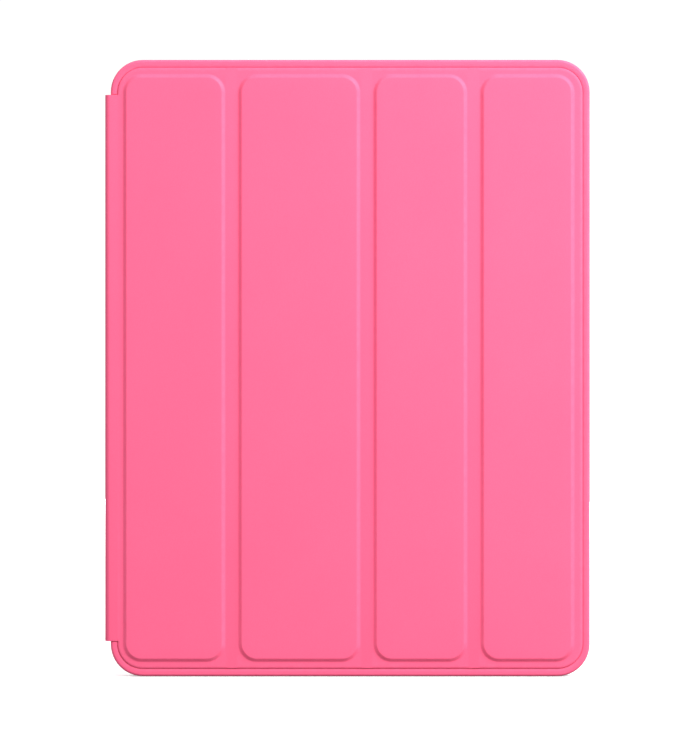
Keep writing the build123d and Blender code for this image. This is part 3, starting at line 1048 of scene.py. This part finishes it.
def make_spine_lining():
    """The spine's microfibre, over its board and round the board's lower end."""
    skin_side, outer = SPINE_BOARD[0]
    inner = outer + LINING
    bottom = SPINE_BOARD[2][0]
    pairs = [((outer, SPINE_TOP), (inner, SPINE_TOP))]
    pairs.append(((outer, bottom + outer - skin_side), (inner, CREASE + inner - SPINE_FACE)))
    pairs.append(((skin_side, bottom), (skin_side, CREASE + SKIN)))
    lining = ribbon("spine_microfibre", pairs, SPINE_HALF - LINING_INSET)
    finish_piece(lining, LINING_LOOK, "spine", "spine_lining")
    return lining


# ---------------------------------------------------------------- CAD nodes that stay

def dress_cad_nodes():
    """Give the boards, the frame and the metal pieces their own materials."""
    looks = {"tray_board": PAINTED_LOOK, "tray_frame": FRAME_LOOK, "spine_board": PAINTED_LOOK}
    looks.update({f"panel_{k}_board": BOARD_LOOK for k in PANEL_NUMBERS})
    looks.update({"steel_plates": STEEL_LOOK, "edge_magnets": MAGNET_LOOK, "wake_magnet": MAGNET_LOOK})
    for name, material in looks.items():
        node = frame["nodes"][name]
        if not node.material_slots:
            node.data.materials.append(material)
        for material_slot in node.material_slots:
            material_slot.material = material


# ---------------------------------------------------------------- studio

# SEEN_HEIGHT is how much the picture's height takes in at the case's front, in metres
SEEN_HEIGHT = 0.2957
LENS = 180.0
SENSOR = 36.0
FARTHEST = 50.0
CAMERA_SHIFT_X = -4.5
FLOOR_SIZE = 6.0
FLOOR_GAP = 0.0002
AMBIENT = 0.74
BACKDROP = 1.05
KEY_FROM = Vector((0.58, -0.52, 0.48))
KEY_AIM = Vector((0.02, 0.0, 0.03))
KEY_SIZE = 0.8
KEY_POWER = 13.7
FILL_FROM = Vector((-1.2, -1.0, 0.3))
FILL_SIZE = 0.8
FILL_POWER = 2.5
BACK_FROM = Vector((0.3, 1.9, 0.15))
BACK_SIZE = 1.2
BACK_POWER = 30.0


def make_floor():
    """A wide floor under the case."""
    work = bmesh.new()
    bmesh.ops.create_grid(work, x_segments=8, y_segments=8, size=FLOOR_SIZE)
    mesh = bpy.data.meshes.new("studio_floor")
    work.to_mesh(mesh)
    work.free()
    floor = bpy.data.objects.new("studio_floor", mesh)
    floor.location.z = cad_low[2] - FLOOR_GAP
    mesh.materials.append(floor_material())
    bpy.context.scene.collection.objects.link(floor)


def make_light(name, spot, target, size, energy):
    """A soft square light that points at a target."""
    data = bpy.data.lights.new(name, "AREA")
    data.shape = "SQUARE"
    data.size = size
    data.energy = energy
    light = bpy.data.objects.new(name, data)
    light.location = spot
    light.rotation_euler = (Vector(target) - Vector(spot)).to_track_quat("-Z", "Y").to_euler()
    bpy.context.scene.collection.objects.link(light)


def make_world():
    """White seen by the camera, and a soft even light on everything."""
    world = bpy.data.worlds.new("studio")
    world.use_nodes = True
    tree = world.node_tree
    background = tree.nodes["Background"]
    background.inputs["Color"].default_value = WHITE
    path = tree.nodes.new("ShaderNodeLightPath")
    level = tree.nodes.new("ShaderNodeMapRange")
    level.inputs["To Min"].default_value = AMBIENT
    level.inputs["To Max"].default_value = BACKDROP
    tree.links.new(path.outputs["Is Camera Ray"], level.inputs["Value"])
    tree.links.new(level.outputs["Result"], background.inputs["Strength"])
    bpy.context.scene.world = world


def make_camera():
    """Straight in front at mid height, a little left of the tray's middle, through a long lens."""
    data = bpy.data.cameras.new("camera")
    data.lens = LENS
    data.sensor_width = SENSOR
    data.clip_end = FARTHEST
    camera = bpy.data.objects.new("camera", data)
    front = place(CAMERA_SHIFT_X, 0, COVER_FRONT)
    distance = SEEN_HEIGHT * LENS / SENSOR
    camera.location = front - Vector((0, distance, 0))
    camera.rotation_euler = (math.radians(90), 0, 0)
    bpy.context.scene.collection.objects.link(camera)
    bpy.context.scene.camera = camera


def make_studio():
    """Floor, world, lights and camera."""
    bpy.context.scene.view_settings.view_transform = "Standard"
    middle = place(0, 0, COVER_FRONT)
    make_floor()
    make_world()
    make_light("key", middle + KEY_FROM, middle + KEY_AIM, KEY_SIZE, KEY_POWER)
    make_light("fill", middle + FILL_FROM, middle, FILL_SIZE, FILL_POWER)
    make_light("back", middle + BACK_FROM, middle, BACK_SIZE, BACK_POWER)
    make_camera()


# ---------------------------------------------------------------- the whole case

make_tray_skin()
make_tray_lining()
for button, wall in BUTTONS.items():
    make_button(button, wall)
narrow_linings = {number: [make_fold(number)] for number in FOLDS}
narrow_linings[1].append(make_bend())
make_spine_skin()
narrow_linings[1].append(make_spine_lining())
for number in PANEL_NUMBERS:
    make_panel_skin(number)
    make_panel_lining(number)
dress_cad_nodes()
make_studio()
